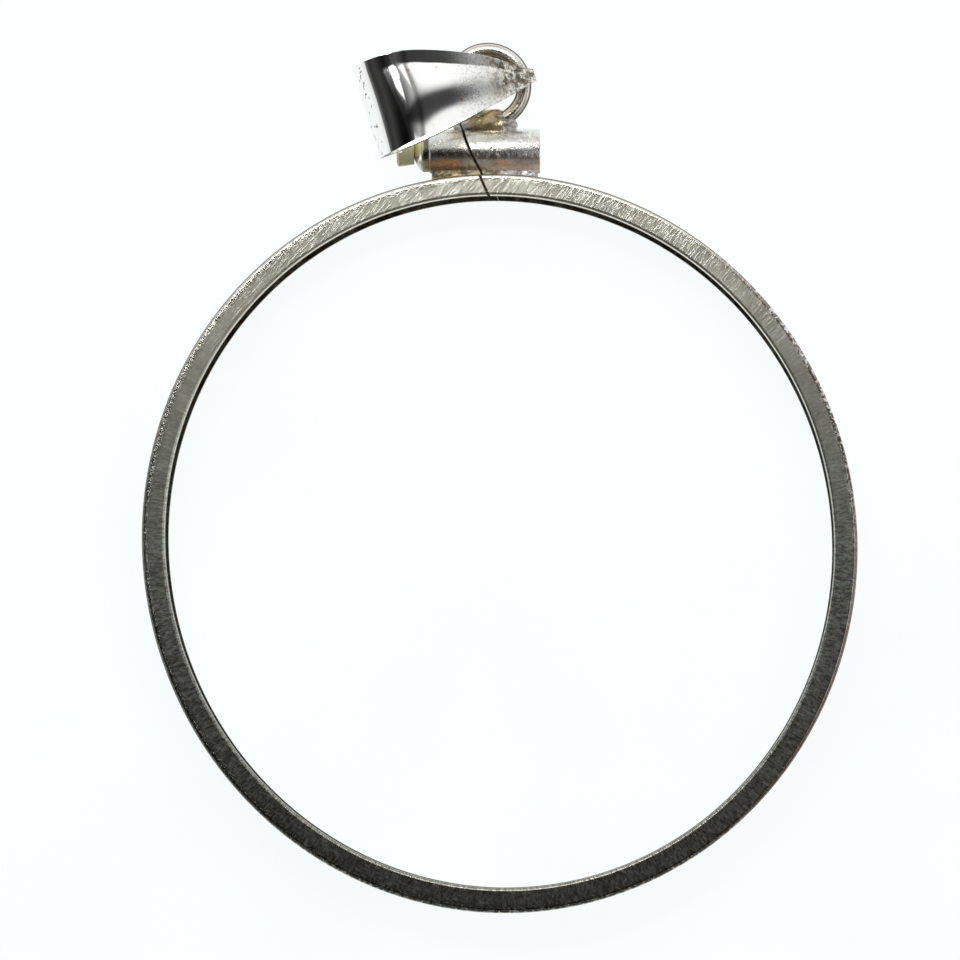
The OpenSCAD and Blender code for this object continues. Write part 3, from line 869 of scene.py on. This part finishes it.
class PENDANT_OT_bail(bpy.types.Operator):
    """Model the folded sheet bail by extruding its end from station to station"""
    bl_idname = "pendant.bail"
    bl_label = "Folded Bail"

    def execute(self, context):
        sizes = context.scene.bail_sizes
        stations = bail_stations(sizes)
        deselect()
        x, z, a, side = stations[0]
        width = bail_row(x, 1)
        shift = side * bail_row(x, 2)
        bpy.ops.mesh.primitive_grid_add(
            x_subdivisions=1, y_subdivisions=BAIL_COLUMNS - 1, size=1, enter_editmode=True)
        bail = named("folded_bail")
        select_vertices(bail, lambda co: co.x < 0)
        bpy.ops.mesh.delete(type="VERT")
        bpy.ops.mesh.select_all(action="SELECT")
        bpy.ops.transform.resize(value=(0, 2 * width, 0), center_override=(0, 0, 0))
        centre = Vector((x, -shift, z))
        bpy.ops.transform.translate(value=centre)
        for x, z, a, side in stations[1:]:
            new_width, shift = bail_row(x, 1), side * bail_row(x, 2)
            place = Vector((x, -shift, z))
            bpy.ops.mesh.extrude_region_move(TRANSFORM_OT_translate={"value": place - centre})
            bpy.ops.transform.resize(value=(1, new_width / width, 1), center_override=place)
            width, centre = new_width, place
        bpy.ops.object.mode_set(mode="OBJECT")
        self.crown(bail, stations)
        bpy.ops.object.mode_set(mode="EDIT")
        close_up(bail)
        bail.data.materials.append(polished_silver())
        bail.data.materials.append(sheet_edge_silver())
        use_modifier(bail, "SOLIDIFY", thickness=sizes.sheet, offset=0, material_offset_rim=1)
        use_modifier(bail, "BEVEL", width=0.05 * MM, segments=2, limit_method="ANGLE")
        use_modifier(bail, "SUBSURF", levels=1, render_levels=1)
        self.roughen(bail)
        bail.rotation_euler = (BAIL_ROLL, -sizes.rise, BAIL_TURN)
        bail.location = EYE_CENTRE
        settle(bail)
        smooth(bail, 40)
        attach(bail, "bail")
        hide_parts("bail")
        return {"FINISHED"}

    def crown(self, bail, stations):
        """Raises the middle of the leaves along their normals, and sinks what is below zero."""
        groups = [(sign, bail.vertex_groups.new(name=name)) for sign, name in (
            (1, "raised"), (-1, "sunk"))]
        for vertex in bail.data.vertices:
            x, z, a, side = min(
                stations, key=lambda row: (row[0] - vertex.co.x) ** 2 + (row[1] - vertex.co.z) ** 2)
            front = side > REAR_SHIFT
            across = (vertex.co.y + side * bail_row(x, 2)) / bail_row(x, 1)
            share, upturn = min(1.0, abs(across)), 0.0
            if front and across < 0:
                # The far edge of the front leaf is turned up a little, beyond a crease
                crease = 0.44 + 0.03 * x / MM
                upturn = 0.6 * max(0.0, share - crease)
                share = min(share, crease)
            crown = bail_row(x, 3) * (1.0 if front else REAR_CROWN)
            crown = crown * (1 - share ** 2 + upturn) / MM
            for sign, group in groups:
                group.add([vertex.index], max(0.0, sign * crown), "REPLACE")
        outward = self.outward(bail) * MM
        for sign, group in groups:
            use_modifier(
                bail, "DISPLACE", direction="NORMAL", strength=sign * outward, mid_level=0,
                vertex_group=group.name)

    def roughen(self, bail):
        """Lumps of solder round the eye and on the narrow end of the front leaf."""
        group = bail.vertex_groups.new(name="solder")
        for vertex in bail.data.vertices:
            near = 1 - (vertex.co.x / MM - 0.2) / 2.0
            above = vertex.co.z > 0.55 * MM and vertex.normal.z > 0
            outside = 1 if above or vertex.co.x < -0.66 * MM and vertex.normal.x < 0.3 else 0
            group.add([vertex.index], outside * max(0.0, min(1.0, near)), "REPLACE")
        lumps = bpy.data.textures.new("tip_lumps", "CLOUDS")
        lumps.noise_scale = 0.28 * MM
        lumps.noise_depth = 3
        use_modifier(
            bail, "DISPLACE", texture=lumps, strength=0.16 * MM, mid_level=0.55,
            vertex_group="solder")

    def outward(self, bail):
        """Gives 1 where the sheet's faces point out of the fold, and -1 where they point in."""
        fold = max(bail.data.polygons, key=lambda face: face.center.x)
        return 1 if fold.normal.x > 0 else -1


# How light the surroundings are, by height (0 is level or below, 1 straight up) and level
HEIGHTS = [
    (0.0, 1.0), (0.28, 1.0), (0.36, 0.55), (0.44, 0.28), (0.5, 0.28), (0.7, 0.42), (0.79, 0.28),
    (0.94, 0.05), (0.98, 0.015), (1.0, 0.01)]
# The same by direction: degrees from +X towards +Y, and level
SURROUNDINGS = [
    (-180, 0.12), (-148, 0.12), (-115, 0.08), (-100, 0.04), (-80, 0.04), (-60, 0.16), (-40, 0.36),
    (-20, 0.60), (-12, 1.05), (7, 1.05), (10, 0.05), (21, 0.05), (25, 0.9), (28, 1.15), (60, 1.15),
    (78, 0.75), (100, 1.0), (155, 1.0), (162, 0.12), (180, 0.12)]


class PENDANT_OT_stage(bpy.types.Operator):
    """Set out the pale floor, the soft lights and the camera above"""
    bl_idname = "pendant.stage"
    bl_label = "Stage"

    def execute(self, context):
        scene = context.scene
        deselect()
        bpy.ops.mesh.primitive_plane_add(size=FLOOR_SIDE, location=(0, 0, FLOOR_HEIGHT))
        floor = named("floor")
        settle(floor)
        floor.data.materials.append(floor_card())

        self.studio(scene)
        scene.view_settings.view_transform = "Standard"
        # Columns: name, place, aim, size across and along, and radiance, in mm
        rows = [
            ("far_strip", (-16, 86, 150), (-13, 72, 0), (110, 16), 17.0),
            ("far_softbox", (0, 170, 130), (0, 140, 0), (300, 120), 0.7),
            ("far_panel", (10, 66, 150), (10, 66.1, 0), (50, 24), 1.4),
            ("right_panel", (108, -20, 150), (108.1, -20, 0), (84, 80), 0.9),
            ("near_softbox", (0, -215, 190), (0, -200, 0), (300, 180), 0.15),
        ]
        for name, place, target, size, radiance in rows:
            light = bpy.data.lights.new(name, "AREA")
            light.shape = "RECTANGLE"
            light.size, light.size_y = size[0] * MM, size[1] * MM
            light.energy = radiance * math.pi * light.size * light.size_y
            lamp = bpy.data.objects.new(name, light)
            lamp.location = Vector(place) * MM
            aim = Vector(target) - Vector(place)
            lamp.rotation_euler = aim.to_track_quat("-Z", "Y").to_euler()
            lamp.visible_camera = False
            scene.collection.objects.link(lamp)

        camera = bpy.data.cameras.new("camera")
        camera.sensor_width = SENSOR
        place = Vector((4.8, -4.2, 341.7)) * MM
        target = Vector((-1.04, 3.41, 1.7)) * MM
        camera.lens = SENSOR * (target - place).length / SEEN_WIDTH
        camera.clip_start = 0.01
        camera.clip_end = 10
        viewer = bpy.data.objects.new("camera", camera)
        forward = (target - place).normalized()
        right = forward.cross(Vector((0, 1, 0))).normalized()
        up = right.cross(forward)
        turn = Matrix((right, up, -forward)).transposed()
        viewer.matrix_world = Matrix.Translation(place) @ turn.to_4x4()
        scene.collection.objects.link(viewer)
        scene.camera = viewer
        return {"FINISHED"}

    def studio(self, scene):
        """A surrounding that is pale along the horizon and dark overhead, as in a light tent
        with the camera's opening at the top."""
        world = scene.world or bpy.data.worlds.new("studio")
        scene.world = world
        world.use_nodes = True
        nodes = Nodes(world.node_tree, "Generated")
        x, y, z = nodes.axes()
        height = nodes.ramp(z, HEIGHTS)
        turn = nodes.sums("MULTIPLY_ADD", nodes.sums("ARCTAN2", y, x), 0.5 / math.pi, 0.5)
        side = nodes.ramp(turn, [
            ((degrees + 180) / 360, level) for degrees, level in SURROUNDINGS])
        # A low pale strip on the left, beyond the fold
        low = nodes.ramp(z, ((0.0, 0.9), (0.17, 0.9), (0.25, 0.0)))
        left = nodes.ramp(turn, ((0.0, 0.0), (0.008, 1.0), (0.08, 1.0), (0.09, 0.0)))
        level = nodes.most(nodes.times(height, side), nodes.times(low, left))
        nodes.feed(nodes.tree.nodes["Background"], {"Color": level, "Strength": 1.0})


class PENDANT_PT_tools(bpy.types.Panel):
    """Lists the pendant's pieces and sizes"""
    bl_label = "Coin Bezel Pendant"
    bl_idname = "PENDANT_PT_tools"
    bl_space_type = "VIEW_3D"
    bl_region_type = "UI"
    bl_category = "Pendant"

    def draw(self, context):
        scene = context.scene
        for group in (scene.ring_sizes, scene.bail_sizes, scene.pendant_colours):
            column = self.layout.column(align=True)
            for key in type(group).__annotations__:
                column.prop(group, key)
        for step in STEPS:
            self.layout.operator(step.bl_idname)


STEPS = (
    PENDANT_OT_ring, PENDANT_OT_barrel, PENDANT_OT_loop, PENDANT_OT_screw,
    PENDANT_OT_bail, PENDANT_OT_stage)
GROUPS = (
    ("ring_sizes", RingSizes), ("bail_sizes", BailSizes), ("pendant_colours", PendantColours))


def register():
    for key, group in GROUPS:
        bpy.utils.register_class(group)
        setattr(bpy.types.Scene, key, bpy.props.PointerProperty(type=group))
    for step in STEPS + (PENDANT_PT_tools,):
        bpy.utils.register_class(step)


def unregister():
    for step in reversed(STEPS + (PENDANT_PT_tools,)):
        bpy.utils.unregister_class(step)
    for key, group in reversed(GROUPS):
        delattr(bpy.types.Scene, key)
        bpy.utils.unregister_class(group)


def main():
    register()
    for name in ("ring", "barrel", "loop", "screw", "bail", "stage"):
        getattr(bpy.ops.pendant, name)()


if __name__ == "__main__":
    main()
